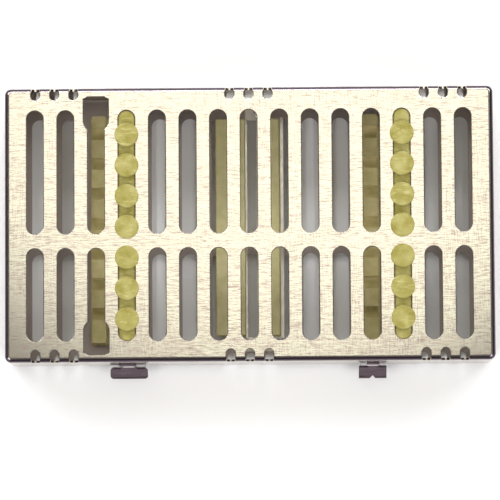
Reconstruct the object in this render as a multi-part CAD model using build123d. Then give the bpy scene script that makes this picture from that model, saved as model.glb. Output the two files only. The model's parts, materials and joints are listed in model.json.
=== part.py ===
from build123d import *
import math
import os

# Perforated stainless cassette for small hand instruments: a base tray and a lid tray from one
# stamping, silicone rails, two rear hinges and two front latches.
# X runs along the case, -Y is the front (latches), +Y the rear (hinges), +Z up.
# Everything is modelled about the middle of the stamping and moved at the end, so that the origin
# is the middle of the bounding box on the surface that the case stands on.

# ---- driving dimensions, mm ----
CASE_X, CASE_Y, CASE_H = 203.0, 114.0, 31.8   # over the sheet, height over both closed trays
T = 0.9                                       # tray sheet
R_BEND, R_CORNER = 2.0, 2.6                   # outer radii: floor bends, upright corners
RIM_GAP = 0.3                                 # between the two rims
ROLL_W, ROLL_T = 0.34, 0.10                   # shallow rolled rim round every opening, outside
LIP_W, LIP_T = 0.14, 0.34                     # and the steeper lip inside it

PITCH = 12.7
COLUMNS = 15
SLOT_W = 6.9
UPPER = (-3.9, 47.6)                          # slot ends along Y
LOWER = (-48.4, -9.9)
VENT_W, VENT_Y, VENT_DROP = 3.7, 52.0, 3.4    # edge vents: width, inner end, depth down the wall
VENT_GROUPS, VENT_PITCH = (-80.8, 0.0, 80.8), 7.94
# end windows: x, half width, half width of the notch at the end; then, for the rear and the front,
# how far the arc's centre, the shoulders and the end are from the middle
WINDOW_X, WINDOW_R, WINDOW_NOTCH = -63.5, 5.2, 3.5
WINDOWS = {1: (43.5, 52.4, 53.3), -1: (44.2, 53.2, 54.1)}

RAIL_X = (-50.8, 63.5)                        # on the lid; the turned-over base has them mirrored
BUTTONS = [-0.95 + 12.8 * i for i in range(-3, 4)]
BUTTON_R, BUTTON_H, STEM_R = 4.95, 1.3, 4.4
FLANGE_W, FLANGE_T = 7.6, 1.5
FIN_W, FIN_H, RAIL_END = 5.8, 8.2, 47.8
SEATS = [2.35 + PITCH * i for i in range(-3, 4)]
SEAT_W, SEAT_DEPTH = 5.2, 4.6
STRIP_T = 0.25                                # the rail stands this far into the slots

Z_BASE = BUTTON_H                             # outer face of the base floor
Z_TOP = Z_BASE + CASE_H                       # outer face of the lid
Z_PART = Z_BASE + CASE_H / 2                  # where the two rims meet
TRAY_H = CASE_H / 2 - RIM_GAP / 2
WALL = CASE_Y / 2                             # outer face of the long walls
FLOOR = Z_BASE + T                            # inner face of the base floor

HINGE_X, HINGE_L, HINGE_OFF = (-45.0, 45.0), 30.0, 0.2
KNUCKLE_R, PIN_R, LEAF_T, LEAF_H = 1.8, 1.0, 0.7, 9.0
KNUCKLES = 5
AXIS_Y = WALL + HINGE_OFF
HINGE_RIVETS, HINGE_RIVET_R = (-10, 0, 10), 1.2   # along X from the hinge's middle
HINGE_RIVET_Z = 6                             # from the parting plane

# latches: x, plate width, tab width, neck width, how far the tab reaches out
LATCH_LEFT = dict(x=-51.2, plate=14.3, tab=15.8, neck=6.6, reach=5.7)
LATCH_RIGHT = dict(x=51.1, plate=10.4, tab=11.6, neck=3.6, reach=6.1)
LATCH_T, LATCH_GAP, MOUNT_T = 0.6, 0.3, 0.6
LATCH_KR, LATCH_PIN_R, LATCH_AXIS_OUT = 0.95, 0.45, 0.25
Z_LATCH = Z_PART + 1.6                        # latch pin, in a gap of the lid's rim
Z_CATCH = Z_PART - 3.6                        # catch nose
Z_BEND = Z_PART - 7.6                         # where the tab turns outwards
Z_PLATE = Z_PART - 6.5                        # lower edge of the plate, either side of the neck
TAB_START = 1.4                               # the tab starts this far out from the wall
TAB_LIP = 1.1                                 # level outer part of the tab
NOTCH = 1.7                                   # side of the square tab's notch
MOUNT_RIVETS, MOUNT_RIVET_R = (-0.3, 0.3), 0.8    # along X, as a share of the plate's width
MOUNT_RIVET_Z = Z_LATCH + 4.0
CATCH_RIVETS, CATCH_RIVET_R = (-3.8, 3.8), 0.7    # along X from the catch's middle

# centre holder: the channel's X and Y ends, its sheet, the upstands (thickness, height), the opening
# over the middle slots (x0, x1, y0, y1), the end tongues, the rivets and the pads' Y ends
HOLDER_X, HOLDER_Y, HOLDER_T = (-1.9, 14.4), (-46.0, 47.5), 0.7
UPSTAND, HEM = (0.8, 4.4), (1.7, 4.8)
HOLDER_OPEN = (-1.2, 2.9, -45.4, 46.6)
TONGUE_X, TONGUE_END = 9.0, 51.4
HOLDER_RIVETS, HOLDER_RIVET_R = ((3.97, -49.9), (3.97, 49.9)), 1.3
PAD_Y = (-45.0, 47.0)

# middle of the bounding box along Y, from the latch tab in front to the hinge knuckle behind
SHIFT_Y = (WALL + LATCH_RIGHT["reach"] - (AXIS_Y + KNUCKLE_R)) / 2


# ---- helpers ----
def box(x0, x1, y0, y1, z0, z1):
    return Pos((x0 + x1) / 2, (y0 + y1) / 2, (z0 + z1) / 2) * Box(abs(x1 - x0), abs(y1 - y0), abs(z1 - z0))


def rod_x(r, x0, x1, y, z):
    return Pos((x0 + x1) / 2, y, z) * Rot(0, 90, 0) * Cylinder(r, abs(x1 - x0))


def rod_y(r, y0, y1, x, z):
    return Pos(x, (y0 + y1) / 2, z) * Rot(90, 0, 0) * Cylinder(r, abs(y1 - y0))


def slot_xy(x, y0, y1, w):
    # round-ended slot along Y, as a sketch on XY
    return Pos(x, (y0 + y1) / 2) * Rot(0, 0, 90) * SlotOverall(abs(y1 - y0), w)


def one(shape):
    # a single clean solid from a boolean result
    solids = shape.solids()
    return solids[0] if len(solids) == 1 else Compound(list(solids))


def turned_over(shape):
    # the lid's geometry as it sits on the base: half a turn about Y at mid-height
    return Pos(0, 0, Z_PART) * Rot(0, 180, 0) * Pos(0, 0, -Z_PART) * shape


# ---- the stamping ----
def shell():
    outer = box(-CASE_X / 2, CASE_X / 2, -WALL, WALL, Z_TOP - TRAY_H - 6, Z_TOP)
    outer = fillet(outer.edges().filter_by(Axis.Z), R_CORNER)
    outer = fillet(outer.faces().sort_by(Axis.Z)[-1].edges(), R_BEND)
    inner = box(-CASE_X / 2 + T, CASE_X / 2 - T, -WALL + T, WALL - T, Z_TOP - TRAY_H - 8, Z_TOP - T)
    inner = fillet(inner.edges().filter_by(Axis.Z), R_CORNER - T)
    inner = fillet(inner.faces().sort_by(Axis.Z)[-1].edges(), R_BEND - T)
    tray = outer - inner
    return tray - box(-CASE_X, CASE_X, -CASE_Y, CASE_Y, Z_TOP - TRAY_H - 10, Z_TOP - TRAY_H)


def column_sketches(x):
    # the openings of one column: two slots, which end in windows in one column
    slots = {-1: slot_xy(x, *LOWER, SLOT_W), 1: slot_xy(x, *UPPER, SLOT_W)}
    if x == WINDOW_X:
        slots = {side: slot + end_window(x, side) for side, slot in slots.items()}
    return list(slots.values())


def end_window(x, side):
    w, n = WINDOW_R, WINDOW_NOTCH
    y, shoulder, end = WINDOWS[side]
    half = [(w, y), (w, shoulder), (n + 0.6, shoulder + 0.4), (n, end)]
    pts = half + [(-px, py) for px, py in reversed(half)]
    rect = make_face(Polyline(*[(x + px, side * py) for px, py in pts], close=True))
    return (Pos(x, side * y) * Circle(w)) + rect


def rolled(face):
    # an opening with its outer edge broken twice: a steep lip, then a shallow rolled rim
    cuts = [Pos(0, 0, Z_TOP - 2 * T) * extrude(face, 3 * T)]
    for width, depth in ((LIP_W, LIP_T), (ROLL_W, ROLL_T)):
        angle = math.degrees(math.atan2(width, depth))
        cuts.append(Pos(0, 0, Z_TOP - depth) * extrude(face, depth, taper=-angle))
    return cuts


def openings():
    cuts = []
    for i in range(COLUMNS):
        for s in column_sketches((i - (COLUMNS - 1) / 2) * PITCH):
            for f in s.faces():
                cuts += rolled(f)
    return cuts


def edge_vents():
    cuts = []
    for group in VENT_GROUPS:
        for k in (-1, 0, 1):
            x = group + k * VENT_PITCH
            for s in (-1, 1):
                top = slot_xy(x, s * VENT_Y, s * (WALL + 8), VENT_W)
                cuts += rolled(top.faces()[0])
                cuts.append(Pos(0, 0, Z_TOP - R_BEND - 0.4) * extrude(top, 6))
                side = Plane.XZ * Pos(x, Z_TOP) * Rot(0, 0, 90) * SlotOverall(2 * VENT_DROP, VENT_W)
                cuts.append(Pos(0, s * (WALL + 0.2), 0) * extrude(side, 1.6, both=True))
    return cuts


def end_vents():
    # three round-ended vents in each short wall
    cuts = []
    for s in (-1, 1):
        for y in (-2 * PITCH, 0, 2 * PITCH):
            v = Plane.YZ * Pos(y, Z_TOP - CASE_H / 4) * SlotOverall(PITCH, VENT_W)
            cuts.append(Pos(s * CASE_X / 2, 0, 0) * extrude(v, 2, both=True))
    return cuts


def hinge_cuts():
    # the rim is open over each hinge, and the wall is drilled for the leaf's rivets
    cuts = []
    for x in HINGE_X:
        half = HINGE_L / 2 + 0.6
        cuts.append(box(x - half, x + half, WALL - T - 1, WALL + 1, Z_PART - 2.4, Z_PART + 2.4))
        cuts += [rod_y(HINGE_RIVET_R, WALL - T - 1, WALL + 1, x + dx, Z_PART + HINGE_RIVET_Z)
                 for dx in HINGE_RIVETS]
    return cuts


def blank():
    tray = shell()
    for c in openings() + edge_vents() + end_vents() + hinge_cuts():
        tray = tray - c
    return tray


def lid_tray(stamping):
    tray = stamping
    for L in (LATCH_LEFT, LATCH_RIGHT):
        half = L["plate"] / 2 + 0.4
        tray = tray - box(L["x"] - half, L["x"] + half, -WALL - 1, -WALL + T + 1, Z_PART, Z_LATCH + 1.3)
        for dx in MOUNT_RIVETS:
            x = L["x"] + dx * L["plate"]
            tray = tray - rod_y(MOUNT_RIVET_R, -WALL - 1, -WALL + T + 1, x, MOUNT_RIVET_Z)
    return one(tray)


def base_tray(stamping):
    tray = turned_over(stamping)
    for L in (LATCH_LEFT, LATCH_RIGHT):
        tray = tray - box(L["x"] - 2.5, L["x"] + 2.5, -WALL - 1, -WALL + T + 1, Z_CATCH - 1.2, Z_CATCH + 1.2)
        for dx in CATCH_RIVETS:
            tray = tray - rod_y(CATCH_RIVET_R, -WALL - 1, -WALL + T + 1, L["x"] + dx, Z_CATCH)
    for x, y in HOLDER_RIVETS:
        tray = tray - Pos(x, y, Z_BASE + T / 2) * Cylinder(HOLDER_RIVET_R, 4)
    return one(tray)


# ---- silicone rails ----
def rail(x):
    # studs outside, a strip that fills the slots, a flange inside and a toothed fin
    z_in = Z_TOP - T
    end = RAIL_END + 0.5
    body = box(x - FLANGE_W / 2, x + FLANGE_W / 2, -end, end, z_in - FLANGE_T, z_in)
    body = fillet(body.edges().filter_by(Axis.Z), 1.5)
    tip = z_in - FLANGE_T - FIN_H
    fin = box(x - FIN_W / 2, x + FIN_W / 2, -RAIL_END, RAIL_END, tip, z_in - FLANGE_T + 0.2)
    fin = fillet(fin.edges().filter_by(Axis.Z), 0.6)
    zc = tip + SEAT_DEPTH - SEAT_W / 2
    for y in SEATS:
        fin = fin - rod_x(SEAT_W / 2, x - FIN_W, x + FIN_W, y, zc)
        fin = fin - box(x - FIN_W, x + FIN_W, y - SEAT_W / 2, y + SEAT_W / 2, tip - 1, zc)
    body = body + fin
    strips = [slot_xy(x, y0 + 0.2, y1 - 0.2, SLOT_W - 0.5) for y0, y1 in (LOWER, UPPER)]
    for strip in strips:
        body = body + Pos(0, 0, z_in - 0.1) * extrude(strip, STRIP_T + 0.1)
    for y in BUTTONS:
        # the stem is the part of the strip under the head, so it stays inside its slot
        head = Pos(x, y, Z_TOP + BUTTON_H / 2) * Cylinder(BUTTON_R, BUTTON_H)
        head = fillet(head.edges().group_by(Axis.Z)[-1], 0.5)
        strip = strips[0] if y < (LOWER[1] + UPPER[0]) / 2 else strips[1]
        stem = strip & Pos(x, y) * Circle(STEM_R)
        body = body + head + Pos(0, 0, z_in) * extrude(stem, T + 0.1)
    return one(body)


# ---- rear hinges ----
def knuckle_spans(x, lid):
    step = HINGE_L / KNUCKLES
    spans = [(x - HINGE_L / 2 + i * step, x - HINGE_L / 2 + (i + 1) * step) for i in range(KNUCKLES)]
    gap = 0.12
    return [(a + (gap if i else 0), b - (gap if i < KNUCKLES - 1 else 0))
            for i, (a, b) in enumerate(spans) if (i % 2 == 1) == lid]


def hinge_leaf(x, lid):
    # plate inside the wall, with rolled knuckles that sit in the gap of the rim
    s = 1 if lid else -1
    y_in, y_out = WALL - T - LEAF_T, WALL - T
    z0, z1 = Z_PART + s * 2.6, Z_PART + s * LEAF_H
    leaf = box(x - HINGE_L / 2, x + HINGE_L / 2, y_in, y_out, min(z0, z1), max(z0, z1))
    outer = leaf.edges().filter_by(Axis.Y).group_by(Axis.Z)[-1 if lid else 0]
    leaf = fillet(outer, 1.5)
    bore = PIN_R + 0.05 if lid else PIN_R
    for a, b in knuckle_spans(x, lid):
        tongue = box(a, b, AXIS_Y - KNUCKLE_R, AXIS_Y - KNUCKLE_R + LEAF_T, Z_PART, z0)
        tongue = tongue + box(a, b, y_in, y_out, Z_PART + s * 1.4, z0)
        leaf = leaf + tongue + rod_x(KNUCKLE_R, a, b, AXIS_Y, Z_PART)
    leaf = leaf - rod_x(bore, x - HINGE_L, x + HINGE_L, AXIS_Y, Z_PART)
    for dx in HINGE_RIVETS:
        leaf = leaf - rod_y(HINGE_RIVET_R, y_in - 1, y_out + 1, x + dx, Z_PART + s * HINGE_RIVET_Z)
    return one(leaf)


def hinge_pin(x):
    pin = rod_x(PIN_R, x - HINGE_L / 2 - 0.5, x + HINGE_L / 2 + 0.5, AXIS_Y, Z_PART)
    return one(chamfer(pin.edges().filter_by(GeomType.CIRCLE), 0.25))


def hinge_rivets(lid):
    # domed head inside, shank through leaf and wall, ground flush outside
    s = 1 if lid else -1
    y_in = WALL - T - LEAF_T
    rivets = []
    for x in HINGE_X:
        for dx in HINGE_RIVETS:
            z = Z_PART + s * HINGE_RIVET_Z
            head = rod_y(2.1, y_in - 0.8, y_in, x + dx, z)
            head = fillet(head.edges().filter_by(GeomType.CIRCLE).group_by(Axis.Y)[0], 0.6)
            rivets.append(one(head + rod_y(HINGE_RIVET_R, y_in - 0.1, WALL, x + dx, z)))
    return Compound(rivets)


# ---- front latches ----
def out(u):
    # a distance out from the front wall, as a Y coordinate
    return -WALL - u


def latch_mount(L):
    # plate inside the lid's front wall, with two knuckles that reach out through the rim's gap
    x, w = L["x"], L["plate"]
    inner = -T - MOUNT_T
    plate = box(x - w / 2, x + w / 2, out(inner), out(-T), Z_LATCH + 1.3, Z_LATCH + 6.6)
    plate = fillet(plate.edges().filter_by(Axis.Y).group_by(Axis.Z)[-1], 1.2)
    mid = w * 0.25 + 0.1
    for a, b in ((x - w / 2, x - mid), (x + mid, x + w / 2)):
        plate = plate + box(a, b, out(inner), out(-T), Z_LATCH - 0.2, Z_LATCH + 1.4)
        plate = plate + box(a, b, out(-T - 0.1), out(-0.1), Z_LATCH - 0.2, Z_LATCH + 0.9)
        plate = plate + rod_x(LATCH_KR, a, b, out(LATCH_AXIS_OUT), Z_LATCH)
    plate = plate - rod_x(LATCH_PIN_R, x - w, x + w, out(LATCH_AXIS_OUT), Z_LATCH)
    for dx in MOUNT_RIVETS:
        plate = plate - rod_y(MOUNT_RIVET_R, out(-3), out(1), x + dx * w, MOUNT_RIVET_Z)
    return one(plate)


def latch_pin(L):
    w = L["plate"]
    pin = rod_x(LATCH_PIN_R, L["x"] - w / 2, L["x"] + w / 2, out(LATCH_AXIS_OUT), Z_LATCH)
    return one(chamfer(pin.edges().filter_by(GeomType.CIRCLE), 0.12))


def latch_rivets():
    # heads inside, ground flush outside
    rivets = []
    inner = -T - MOUNT_T
    for L in (LATCH_LEFT, LATCH_RIGHT):
        for dx in MOUNT_RIVETS:
            x, z = L["x"] + dx * L["plate"], MOUNT_RIVET_Z
            head = rod_y(1.35, out(inner), out(inner - 0.5), x, z)
            head = fillet(head.edges().filter_by(GeomType.CIRCLE).group_by(Axis.Y)[-1], 0.4)
            rivets.append(one(head + rod_y(MOUNT_RIVET_R, out(inner - 0.1), out(0), x, z)))
    return Compound(rivets)


def latch(L, square):
    # plate down over the parting line, window for the catch, neck, and a tab turned outwards
    x, reach = L["x"], L["reach"]
    mid_u = LATCH_GAP + LATCH_T / 2
    run = reach - TAB_LIP - mid_u
    path = FilletPolyline((mid_u, Z_LATCH - 0.6), (mid_u, Z_BEND), (mid_u + run, Z_BEND - run),
                          (reach, Z_BEND - run), radius=0.9)
    profile = trace(path, line_width=LATCH_T)
    strip = extrude(Plane((x, -WALL, 0), x_dir=(0, -1, 0), z_dir=(-1, 0, 0)) * profile, 12, both=True)
    z_neck = Z_BEND - (TAB_START - mid_u)
    z_end = Z_BEND - run - 2
    w, t, n = L["plate"] / 2, L["tab"] / 2, L["neck"] / 2
    k = L["plate"] * 0.25 - 0.1
    face = Plane((0, 0, 0), x_dir=(1, 0, 0), z_dir=(0, -1, 0))
    plate_part = box(x - w, x + w, out(-3), out(12), Z_PLATE, Z_LATCH - 1.3)
    plate_part = fillet(plate_part.edges().filter_by(Axis.Y), 0.8)
    tongue = box(x - k, x + k, out(-3), out(12), Z_CATCH + 2, Z_LATCH + 1)
    neck = box(x - n, x + n, out(-3), out(12), z_neck - 1, Z_PLATE + 0.5)
    tab = box(x - t, x + t, out(-3), out(12), Z_BEND - run - 0.6, z_neck)
    if square:
        tab = fillet(tab.edges().filter_by(Axis.Y), 0.35)
        tab = tab + box(x - t, x + t, out(-3), out(12), z_end, z_neck - 1)
    else:
        tab = fillet(tab.edges().filter_by(Axis.Y).group_by(Axis.Z)[-1], 1.7)
        tab = tab + box(x - t, x + t, out(-3), out(12), z_end, Z_BEND - run + 0.6)
    body = strip & (plate_part + tongue + neck + tab)
    # the tab's outline in plan: round outer corners, or a small notch in a square edge
    if square:
        body = body - Pos(x, out(reach), 0) * Rot(0, 0, 45) * Box(NOTCH, NOTCH, 60)
    else:
        plan = Pos(x, out(reach / 2 - 6)) * RectangleRounded(L["tab"], reach + 12, 1.3)
        body = body & Pos(0, 0, -5) * extrude(plan, 60)
    body = body + rod_x(LATCH_KR, x - k, x + k, out(LATCH_AXIS_OUT), Z_LATCH)
    body = body - rod_x(LATCH_PIN_R + 0.05, x - w, x + w, out(LATCH_AXIS_OUT), Z_LATCH)
    body = body - box(x - 2.8, x + 2.8, out(0), out(1.1), Z_CATCH - 1.35, Z_CATCH + 1.6)
    return one(body)


def catch(L):
    # plate inside the base's front wall with a nose that ends in the latch's window
    x = L["x"]
    plate = box(x - 5.2, x + 5.2, out(-T - 0.6), out(-T), Z_CATCH - 2.6, Z_CATCH + 2.6)
    plate = fillet(plate.edges().filter_by(Axis.Y), 1.0)
    pts = [(-T - 0.3, 1.1), (0.25, 1.1), (1.3, -0.2), (1.3, -1.1), (-T - 0.3, -1.1)]
    side = make_face(Polyline(*[(u, Z_CATCH + z) for u, z in pts], close=True))
    frame = Plane((x, -WALL, 0), x_dir=(0, -1, 0), z_dir=(-1, 0, 0))
    plate = plate + extrude(frame * side, 2.4, both=True)
    for dx in CATCH_RIVETS:
        plate = plate - rod_y(CATCH_RIVET_R, out(-3), out(0), x + dx, Z_CATCH)
    return one(plate)


def catch_rivets():
    rivets = []
    for L in (LATCH_LEFT, LATCH_RIGHT):
        for dx in CATCH_RIVETS:
            x = L["x"] + dx
            head = rod_y(1.15, out(-T - 0.6), out(-T - 1.1), x, Z_CATCH)
            head = fillet(head.edges().filter_by(GeomType.CIRCLE).group_by(Axis.Y)[-1], 0.35)
            rivets.append(one(head + rod_y(CATCH_RIVET_R, out(-T - 0.7), out(0), x, Z_CATCH)))
    return Compound(rivets)


# ---- centre holder ----
def centre_bracket():
    # channel: a floor strip that is open over the middle slots, a thin upstand on the left and a
    # hemmed one with a flat top on the right
    (x0, x1), (y0, y1) = HOLDER_X, HOLDER_Y
    strip = box(x0, x1, -TONGUE_END, TONGUE_END, FLOOR, FLOOR + HOLDER_T)
    strip = strip - box(TONGUE_X, x1 + 1, y1, TONGUE_END + 1, 0, 20)
    strip = strip - box(TONGUE_X, x1 + 1, -TONGUE_END - 1, y0, 0, 20)
    strip = strip - box(*HOLDER_OPEN, 0, 20)
    left = box(x0, x0 + UPSTAND[0], y0, y1, FLOOR, FLOOR + UPSTAND[1])
    right = box(x1 - HEM[0], x1, y0, y1, FLOOR, FLOOR + HEM[1])
    right = fillet(right.edges().filter_by(Axis.Y).group_by(Axis.Z)[-1], 0.25)
    body = strip + left + right
    for x, y in HOLDER_RIVETS:
        body = body - Pos(x, y, FLOOR) * Cylinder(HOLDER_RIVET_R, 6)
    return one(body)


def centre_pad(x0, x1, z0, height):
    pad = box(x0, x1, *PAD_Y, z0, z0 + height)
    pad = fillet(pad.edges().filter_by(Axis.Z), 0.8)
    return one(fillet(pad.faces().sort_by(Axis.Z)[-1].edges(), 0.7))


def bracket_rivets():
    # domed head inside, shank through channel and floor, ground flush outside
    z_head = FLOOR + HOLDER_T
    rivets = []
    for x, y in HOLDER_RIVETS:
        head = Pos(x, y, z_head + 0.45) * Cylinder(2.3, 0.9)
        head = fillet(head.edges().group_by(Axis.Z)[-1], 0.6)
        shank = Pos(x, y, (Z_BASE + z_head + 0.1) / 2) * Cylinder(HOLDER_RIVET_R, z_head + 0.1 - Z_BASE)
        rivets.append(one(head + shank))
    return Compound(rivets)


def build():
    stamping = blank()
    parts = {
        "lid_tray": lid_tray(stamping),
        "base_tray": base_tray(stamping),
        "lid_rail_left": rail(RAIL_X[0]),
        "lid_rail_right": rail(RAIL_X[1]),
        "base_rail_left": one(turned_over(rail(RAIL_X[1]))),
        "base_rail_right": one(turned_over(rail(RAIL_X[0]))),
        "lid_hinge_rivets": hinge_rivets(True),
        "base_hinge_rivets": hinge_rivets(False),
        "latch_mount_rivets": latch_rivets(),
        "catch_rivets": catch_rivets(),
        "centre_bracket": centre_bracket(),
        "centre_pad_left": centre_pad(-14.5, HOLDER_X[0] - 0.05, FLOOR, 4.2),
        "centre_pad_right": centre_pad(3.1, HOLDER_X[1] - HEM[0], FLOOR + HOLDER_T, 3.3),
        "bracket_rivets": bracket_rivets(),
    }
    for side, x in zip(("left", "right"), HINGE_X):
        parts[f"hinge_leaf_lid_{side}"] = hinge_leaf(x, True)
        parts[f"hinge_leaf_base_{side}"] = hinge_leaf(x, False)
        parts[f"hinge_pin_{side}"] = hinge_pin(x)
    for side, L in (("left", LATCH_LEFT), ("right", LATCH_RIGHT)):
        parts[f"latch_{side}"] = latch(L, square=side == "right")
        parts[f"latch_mount_{side}"] = latch_mount(L)
        parts[f"latch_pin_{side}"] = latch_pin(L)
        parts[f"catch_{side}"] = catch(L)
    return parts


if __name__ == "__main__":
    os.makedirs("parts", exist_ok=True)
    for name, shape in build().items():
        export_step(shape.moved(Location((0, SHIFT_Y, 0))), f"parts/{name}.step")
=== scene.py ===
import json
import math

import bpy
from mathutils import Matrix, Vector


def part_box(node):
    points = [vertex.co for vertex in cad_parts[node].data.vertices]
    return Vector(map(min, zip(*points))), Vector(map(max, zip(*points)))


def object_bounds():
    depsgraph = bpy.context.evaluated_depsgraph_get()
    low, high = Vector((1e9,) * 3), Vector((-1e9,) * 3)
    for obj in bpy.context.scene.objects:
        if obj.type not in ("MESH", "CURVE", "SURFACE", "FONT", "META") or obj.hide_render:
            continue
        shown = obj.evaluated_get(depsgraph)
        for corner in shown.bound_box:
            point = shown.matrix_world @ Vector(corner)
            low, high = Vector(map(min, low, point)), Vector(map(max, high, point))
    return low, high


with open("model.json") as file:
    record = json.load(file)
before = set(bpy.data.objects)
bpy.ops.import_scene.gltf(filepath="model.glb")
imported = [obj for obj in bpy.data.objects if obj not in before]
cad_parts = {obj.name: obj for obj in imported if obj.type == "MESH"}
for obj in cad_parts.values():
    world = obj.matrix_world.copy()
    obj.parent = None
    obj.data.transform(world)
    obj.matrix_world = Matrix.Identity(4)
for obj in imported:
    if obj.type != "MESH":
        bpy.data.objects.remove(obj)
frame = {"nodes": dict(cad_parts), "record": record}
cad_box = [list(map(float, p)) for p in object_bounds()]

# Metres throughout, in the part's frame: -Y is the front (latches), +Y the rear (hinges).

# ---------------------------------------------------------------- camera
lid_lo, lid_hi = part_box("lid_tray")
LID_TOP = Vector(((lid_lo.x + lid_hi.x) / 2, (lid_lo.y + lid_hi.y) / 2, lid_hi.z))
EYE = LID_TOP + Vector((0.020, -0.135, 1.450))
LOOK_AT = LID_TOP + Vector((0.00026, -0.01103, 0.0))
ROLL = math.radians(0.36)
SENSOR_MM, FOCAL_MM = 36.0, 253.1


def make_camera():
    """A long lens almost straight above the lid, a little to the front and the right."""
    data = bpy.data.cameras.new("camera")
    data.sensor_width, data.lens = SENSOR_MM, FOCAL_MM
    data.clip_start, data.clip_end = 0.05, 20.0
    cam = bpy.data.objects.new("camera", data)
    bpy.context.scene.collection.objects.link(cam)
    bpy.context.scene.camera = cam
    forward = (LOOK_AT - EYE).normalized()
    up = Vector((math.sin(ROLL), math.cos(ROLL), 0.0))
    right = forward.cross(up).normalized()
    up = right.cross(forward)
    turn = Matrix((right, up, -forward)).transposed().to_4x4()
    cam.matrix_world = Matrix.Translation(EYE) @ turn


# ---------------------------------------------------------------- node helpers
class Nodes:
    """A small builder for one node tree."""

    def __init__(self, name):
        self.mat = bpy.data.materials.new(name)
        self.mat.use_nodes = True
        self.tree = self.mat.node_tree
        self.tree.nodes.clear()
        output = self.tree.nodes.new("ShaderNodeOutputMaterial")
        self.bsdf = self.tree.nodes.new("ShaderNodeBsdfPrincipled")
        self.link(self.bsdf.outputs[0], output.inputs[0])

    def link(self, a, b):
        self.tree.links.new(a, b)

    def put(self, socket, value):
        """Link a socket, or set a constant on it."""
        if isinstance(value, bpy.types.NodeSocket):
            self.link(value, socket)
        else:
            socket.default_value = value

    def set(self, **values):
        for name, value in values.items():
            self.put(self.bsdf.inputs[name.replace("_", " ")], value)

    def coords(self, scale=(1, 1, 1), turn=(0, 0, 0)):
        """The point in the piece's own frame, scaled along each axis and then turned."""
        source = self.tree.nodes.new("ShaderNodeTexCoord")
        mapping = self.tree.nodes.new("ShaderNodeMapping")
        mapping.inputs["Scale"].default_value = scale
        mapping.inputs["Rotation"].default_value = turn
        self.link(source.outputs["Object"], mapping.inputs["Vector"])
        return mapping.outputs[0]

    def math(self, op, a, b=0.0):
        n = self.tree.nodes.new("ShaderNodeMath")
        n.operation = op
        self.put(n.inputs[0], a)
        self.put(n.inputs[1], b)
        return n.outputs[0]

    def vmath(self, op, a, b):
        n = self.tree.nodes.new("ShaderNodeVectorMath")
        n.operation = op
        self.put(n.inputs[0], a)
        self.put(n.inputs[1], b)
        return n.outputs[0]

    def noise(self, vector, scale=1.0, detail=3.0, rough=0.5, distortion=0.0, colour=False):
        n = self.tree.nodes.new("ShaderNodeTexNoise")
        self.link(vector, n.inputs["Vector"])
        n.inputs["Scale"].default_value = scale
        n.inputs["Detail"].default_value = detail
        n.inputs["Roughness"].default_value = rough
        n.inputs["Distortion"].default_value = distortion
        return n.outputs["Color" if colour else "Fac"]

    def ramp(self, fac, stops):
        """A colour ramp; stops are (position, colour), lowest first."""
        n = self.tree.nodes.new("ShaderNodeValToRGB")
        elements = n.color_ramp.elements
        elements[0].position, elements[0].color = stops[0][0], (*stops[0][1], 1)
        elements[1].position, elements[1].color = stops[-1][0], (*stops[-1][1], 1)
        for position, colour in stops[1:-1]:
            elements.new(position).color = (*colour, 1)
        self.link(fac, n.inputs[0])
        return n.outputs[0]

    def mix(self, fac, a, b):
        n = self.tree.nodes.new("ShaderNodeMix")
        n.data_type = "RGBA"
        self.put(n.inputs[0], fac)
        for socket, value in ((n.inputs[6], a), (n.inputs[7], b)):
            self.put(socket, value if isinstance(value, bpy.types.NodeSocket) else (*value, 1))
        return n.outputs[2]

    def range(self, value, from_min, from_max, to_min, to_max):
        """value, mapped from one range to the other and clamped to it."""
        n = self.tree.nodes.new("ShaderNodeMapRange")
        self.put(n.inputs["Value"], value)
        n.inputs["From Min"].default_value = from_min
        n.inputs["From Max"].default_value = from_max
        n.inputs["To Min"].default_value = to_min
        n.inputs["To Max"].default_value = to_max
        return n.outputs[0]

    def facing_z(self):
        """The Z part of the surface's direction, in the piece's own frame."""
        source = self.tree.nodes.new("ShaderNodeTexCoord")
        parts = self.tree.nodes.new("ShaderNodeSeparateXYZ")
        self.link(source.outputs["Normal"], parts.inputs[0])
        return parts.outputs[2]

    def grey(self, value):
        n = self.tree.nodes.new("ShaderNodeCombineColor")
        for socket in n.inputs[:3]:
            self.link(value, socket)
        return n.outputs[0]

    def bump(self, height, strength, distance, normal=None):
        n = self.tree.nodes.new("ShaderNodeBump")
        n.inputs["Strength"].default_value = strength
        n.inputs["Distance"].default_value = distance
        self.link(height, n.inputs["Height"])
        if normal is not None:
            self.link(normal, n.inputs["Normal"])
        return n.outputs[0]


# ---------------------------------------------------------------- materials
# Each kind of line is noise squeezed by factors along X, Y and Z. It runs along the least squeezed axis.
HAIRLINES, BANDS = (260.0, 3000.0, 3000.0), (90.0, 1100.0, 1100.0)
CROSS_LINES, COARSE_LINES = (3000.0, 220.0, 500.0), (260.0, 2600.0, 500.0)
# The turn follows the squeeze, so it doesn't tilt the lines: it only takes another sample.
CROSS_SAMPLE, COARSE_SAMPLE = (0, 0, 0.75), (0, 0, 0.95)
WANDER = 0.004                                # scale of the hairlines' sideways drift
FINE_SHARE, BAND_SHARE = 0.76, 0.24
PATCH_SHARE = 0.38                            # most that a patch of other lines adds
PANEL_EDGE, WALL_EDGE = (0.93, 0.957), (0.10, 0.30)    # Z part of the direction, where each ends
# painted shade: the inner face is painted darker, as shade inside the closed case, and made rougher
INNER_PAINTED_SHADE_TONE, INNER_ROUGH = 0.80, 0.44
# painted shade: walls are painted darker than the panels, to tone down the light they catch
WALL_PAINTED_SHADE_TONE = (0.68, 0.67, 0.68)
# painted shade: the outer bends are painted near-black, a dark reflection painted into the colour
BEND_PAINTED_SHADE_TONE, BEND_ROUGH = (0.14, 0.13, 0.17), 0.2
SHEET_SMOOTH, SHEET_ROUGH = 0.17, 0.27
SCRATCH_DEPTH = 0.00003


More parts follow.
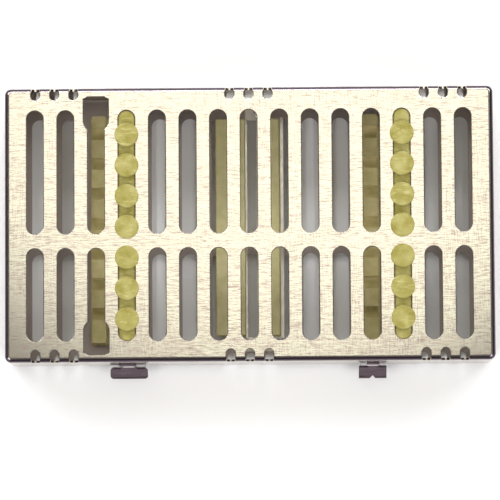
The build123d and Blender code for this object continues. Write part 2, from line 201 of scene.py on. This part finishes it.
def streaks(n, base):
    """Wandering hairlines along X, with patches of lines along Y and of others along X."""
    drift = n.noise(base, scale=22.0, detail=2.0, rough=0.5, colour=True)
    drift = n.vmath("MULTIPLY", n.vmath("SUBTRACT", drift, (0.5, 0.5, 0.5)), (WANDER, WANDER, WANDER))
    moved = n.vmath("ADD", base, drift)
    fine = n.noise(n.vmath("MULTIPLY", moved, HAIRLINES), detail=3.0, rough=0.7)
    bands = n.noise(n.vmath("MULTIPLY", moved, BANDS), detail=3.0, rough=0.6)
    cross = n.noise(n.coords(scale=CROSS_LINES, turn=CROSS_SAMPLE), detail=2.0, rough=0.6)
    coarse = n.noise(n.coords(scale=COARSE_LINES, turn=COARSE_SAMPLE), detail=2.0, rough=0.6)
    patches = n.noise(base, scale=19.0, detail=1.5)
    streak = n.math("ADD", n.math("MULTIPLY", fine, FINE_SHARE), n.math("MULTIPLY", bands, BAND_SHARE))
    for lines, least, most in ((cross, 0.40, 0.62), (coarse, 0.62, 0.40)):
        amount = n.range(patches, least, most, 0.0, PATCH_SHARE)
        streak = n.math("ADD", streak, n.math("MULTIPLY", n.math("SUBTRACT", lines, 0.5), amount))
    return streak


def brushed(name, light, warm, dark, inside):
    """Brushed stainless sheet, with painted shade: near-black outer bends as a painted dark reflection,
    walls painted darker, and an inner face painted darker as shade and made duller.

    inside is the sign of Z that the inner face of the sheet's large panel points to.
    """
    n = Nodes(name)
    base = n.coords()
    streak = streaks(n, base)
    colour = n.ramp(streak, [(0.36, dark), (0.455, warm), (0.54, light)])
    cloud = n.noise(base, scale=34.0, detail=3.0, rough=0.6)
    colour = n.mix(n.range(cloud, 0.42, 0.68, 0.0, 0.30), colour, warm)

    # masks from the surface's own direction
    facing = n.facing_z()
    inner = n.range(n.math("MULTIPLY", facing, inside), 0.5, 0.9, 0.0, 1.0)
    painted_shade_wall = n.range(n.math("ABSOLUTE", facing), *WALL_EDGE, 1.0, 0.0)
    outward = n.math("MULTIPLY", facing, -inside)
    off_panel = n.range(outward, *PANEL_EDGE, 1.0, 0.0)
    off_wall = n.range(outward, *WALL_EDGE, 0.0, 1.0)
    painted_shade_bend = n.math("MULTIPLY", off_panel, off_wall)

    # painted shade inside the closed case: the inner face gets a darker colour
    colour = n.mix(inner, colour, tuple(INNER_PAINTED_SHADE_TONE * c for c in dark))
    # painted shade: the walls' colour is darkened by their direction
    colour = n.vmath("MULTIPLY", colour, n.mix(painted_shade_wall, (1.0, 1.0, 1.0), WALL_PAINTED_SHADE_TONE))
    # painted shade: the outer bends get a near-black colour
    colour = n.mix(painted_shade_bend, colour, tuple(tone * c for tone, c in zip(BEND_PAINTED_SHADE_TONE, dark)))
    rough = n.grey(n.range(streak, 0.38, 0.60, SHEET_ROUGH, SHEET_SMOOTH))
    rough = n.mix(inner, rough, (INNER_ROUGH, INNER_ROUGH, INNER_ROUGH))
    rough = n.mix(painted_shade_bend, rough, (BEND_ROUGH, BEND_ROUGH, BEND_ROUGH))
    n.set(Base_Color=colour, Metallic=1.0, Roughness=rough)
    n.put(n.bsdf.inputs["Normal"], n.bump(streak, strength=0.065, distance=SCRATCH_DEPTH))
    return n.mat


def satin(name, light, dark, rough=0.33, along=(1, 0, 0)):
    """Small steel parts: drawn or ground finish with short scratches along one axis."""
    n = Nodes(name)
    stretch = tuple(160.0 if a else 2600.0 for a in along)
    fine = n.noise(n.coords(scale=stretch), detail=3.0, rough=0.6)
    spots = n.noise(n.coords(), scale=420.0, detail=3.0, rough=0.6)
    colour = n.mix(n.range(fine, 0.35, 0.65, 0.0, 1.0), dark, light)
    colour = n.mix(n.range(spots, 0.55, 0.8, 0.0, 0.35), colour, tuple(0.7 * c for c in dark))
    n.set(Base_Color=colour, Metallic=1.0, Roughness=n.range(spots, 0.3, 0.7, rough - 0.07, rough + 0.09))
    n.put(n.bsdf.inputs["Normal"], n.bump(fine, strength=0.15, distance=SCRATCH_DEPTH))
    return n.mat


DRAG_MARKS, DRAG_SAMPLE = (260.0, 900.0, 300.0), (0, 0, 0.7)


def silicone(name, colour, pale, deep, scuff):
    """Matte moulded silicone: soft mottling, faint dusty scuffs and a fine grain."""
    n = Nodes(name)
    mottle = n.noise(n.coords(), scale=210.0, detail=3.0, rough=0.55)
    body = n.ramp(mottle, [(0.32, deep), (0.52, colour), (0.72, pale)])
    drag = n.noise(n.coords(scale=DRAG_MARKS, turn=DRAG_SAMPLE), detail=2.5, rough=0.65, distortion=0.6)
    marks = n.range(drag, 0.56, 0.72, 0.0, scuff)
    body = n.mix(marks, body, tuple(min(1.0, 1.18 * c + 0.03) for c in pale))
    grain = n.noise(n.coords(), scale=2400.0, detail=2.0, rough=0.5)
    n.set(Base_Color=body, Metallic=0.0, Roughness=n.range(mottle, 0.3, 0.7, 0.48, 0.62))
    n.set(Specular_IOR_Level=0.35, Sheen_Weight=0.08, Sheen_Roughness=0.4)
    scratched = n.bump(drag, strength=0.12, distance=0.00004)
    n.put(n.bsdf.inputs["Normal"], n.bump(grain, strength=0.12, distance=0.00002, normal=scratched))
    return n.mat


def make_materials():
    """One material for each material slot of the record, by the slot's name."""
    along_y = (0, 1, 0)
    looks = {
        # light, warm and dark tone, and the sign of Z that the inner face points to
        "lid_steel": (brushed, (0.95, 0.93, 0.82), (0.86, 0.77, 0.69), (0.60, 0.49, 0.47), -1),
        "base_steel": (brushed, (0.90, 0.88, 0.80), (0.80, 0.75, 0.68), (0.58, 0.51, 0.48), 1),
        # light and dark tone; some also give a roughness, and one the axis of its scratches
        "bracket_steel": (satin, (0.90, 0.87, 0.80), (0.74, 0.70, 0.65), 0.33, along_y),
        "hinge_steel": (satin, (0.76, 0.75, 0.73), (0.58, 0.57, 0.55)),
        "pin_steel": (satin, (0.74, 0.74, 0.73), (0.55, 0.55, 0.54), 0.25),
        "rivet_steel": (satin, (0.78, 0.77, 0.75), (0.60, 0.59, 0.57), 0.28),
        # latch_steel is painted near-black: a painted dark reflection for the tabs, which face the front
        "latch_steel": (satin, (0.195, 0.15, 0.175), (0.125, 0.096, 0.110), 0.40),
        "mount_steel": (satin, (0.70, 0.68, 0.67), (0.52, 0.50, 0.49)),
        # middle, pale and deep tone, and the amount of scuffing; the base's rails and the pads are
        # paler than the lid's rails, because they are seen in the shade of the closed case
        "lid_silicone": (silicone, (0.33, 0.292, 0.080), (0.415, 0.375, 0.14), (0.25, 0.215, 0.036), 0.75),
        "base_silicone": (silicone, (0.66, 0.575, 0.27), (0.72, 0.64, 0.33), (0.57, 0.50, 0.21), 0.2),
        "pad_silicone": (silicone, (0.66, 0.60, 0.31), (0.72, 0.65, 0.37), (0.58, 0.53, 0.25), 0.2),
    }
    return {slot: make(slot, *values) for slot, (make, *values) in looks.items()}


def paint_nodes():
    materials = make_materials()
    for part in frame["record"]["subparts"]:
        for slot in frame["nodes"][part["node"]].material_slots:
            slot.material = materials[part["material_slot"]]


# ---------------------------------------------------------------- floor and light
FLOOR_SIZE = 3.0
WHITE = (1.0, 1.0, 1.0)
SOFTBOX_AT, SOFTBOX_SIZE = 2.1, (1.9, 1.9)    # distance along each axis, and its sides
REAR_POWER, FRONT_POWER = 54.0, 74.0
OVERHEAD_X, OVERHEAD_Y, OVERHEAD_Z = -0.008, 0.157, 0.63


def make_floor():
    bpy.ops.mesh.primitive_plane_add(size=FLOOR_SIZE, location=(0, 0, cad_box[0][2]))
    floor = bpy.context.object
    floor.name = "floor"
    n = Nodes("floor")
    tone = n.noise(n.coords(), scale=3.0, detail=2.0)
    pale = n.ramp(tone, [(0.3, (0.90, 0.90, 0.90)), (0.7, (0.94, 0.94, 0.94))])
    n.set(Base_Color=pale, Roughness=0.6, Specular_IOR_Level=0.2)
    floor.data.materials.append(n.mat)


def area(name, place, aim, size, power, colour, shape="RECTANGLE", turn=0.0):
    """An area light that points from place to aim, turned about its own axis by turn degrees."""
    data = bpy.data.lights.new(name, "AREA")
    data.shape, data.size, data.size_y = shape, size[0], size[1]
    data.energy, data.color = power, colour
    lamp = bpy.data.objects.new(name, data)
    lamp.location = place
    facing = (Vector(aim) - Vector(place)).to_track_quat("-Z", "Y").to_matrix()
    lamp.rotation_euler = (facing @ Matrix.Rotation(math.radians(turn), 3, "Z")).to_euler()
    lamp.visible_camera = False
    bpy.context.scene.collection.objects.link(lamp)


def make_world():
    """A studio that is dim overhead and brighter towards the horizon, so that no side mirrors black."""
    world = bpy.data.worlds.new("studio")
    bpy.context.scene.world = world
    world.use_nodes = True
    tree = world.node_tree
    direction = tree.nodes.new("ShaderNodeTexCoord")
    height = tree.nodes.new("ShaderNodeSeparateXYZ")
    ramp = tree.nodes.new("ShaderNodeValToRGB")
    low, high = ramp.color_ramp.elements
    low.position, low.color = 0.20, (0.46, 0.45, 0.445, 1)
    high.position, high.color = 0.74, (0.08, 0.065, 0.070, 1)
    tree.links.new(direction.outputs["Generated"], height.inputs[0])
    tree.links.new(height.outputs[2], ramp.inputs[0])
    tree.links.new(ramp.outputs[0], tree.nodes["Background"].inputs[0])


def make_lights():
    # the lid mirrors this turned oval, which leaves its front corners in shade
    area("overhead", place=(OVERHEAD_X, OVERHEAD_Y, OVERHEAD_Z), aim=(OVERHEAD_X, OVERHEAD_Y, 0.0),
         size=(0.445, 0.383), power=0.54, colour=(1.0, 0.985, 0.83), shape="ELLIPSE", turn=-20)
    # four softboxes at the diagonals whiten the floor and stay out of the bends' reflections
    far = SOFTBOX_AT
    middle = (0, 0, 0)
    for side in (-1, 1):
        area("rear_soft", (far * side, far, far), middle, SOFTBOX_SIZE, REAR_POWER, WHITE)
        area("front_soft", (far * side, -far, far), middle, SOFTBOX_SIZE, FRONT_POWER, WHITE)
    # behind the case, for the bright line along the rear bend
    area("rear_strip", place=(0.0, 1.0, 0.66), aim=(0, 0, 0.03), size=(0.45, 0.71), power=6.0,
         colour=(0.97, 1.0, 1.0))


make_camera()
paint_nodes()
make_floor()
make_world()
make_lights()
bpy.context.scene.view_settings.view_transform = "Standard"
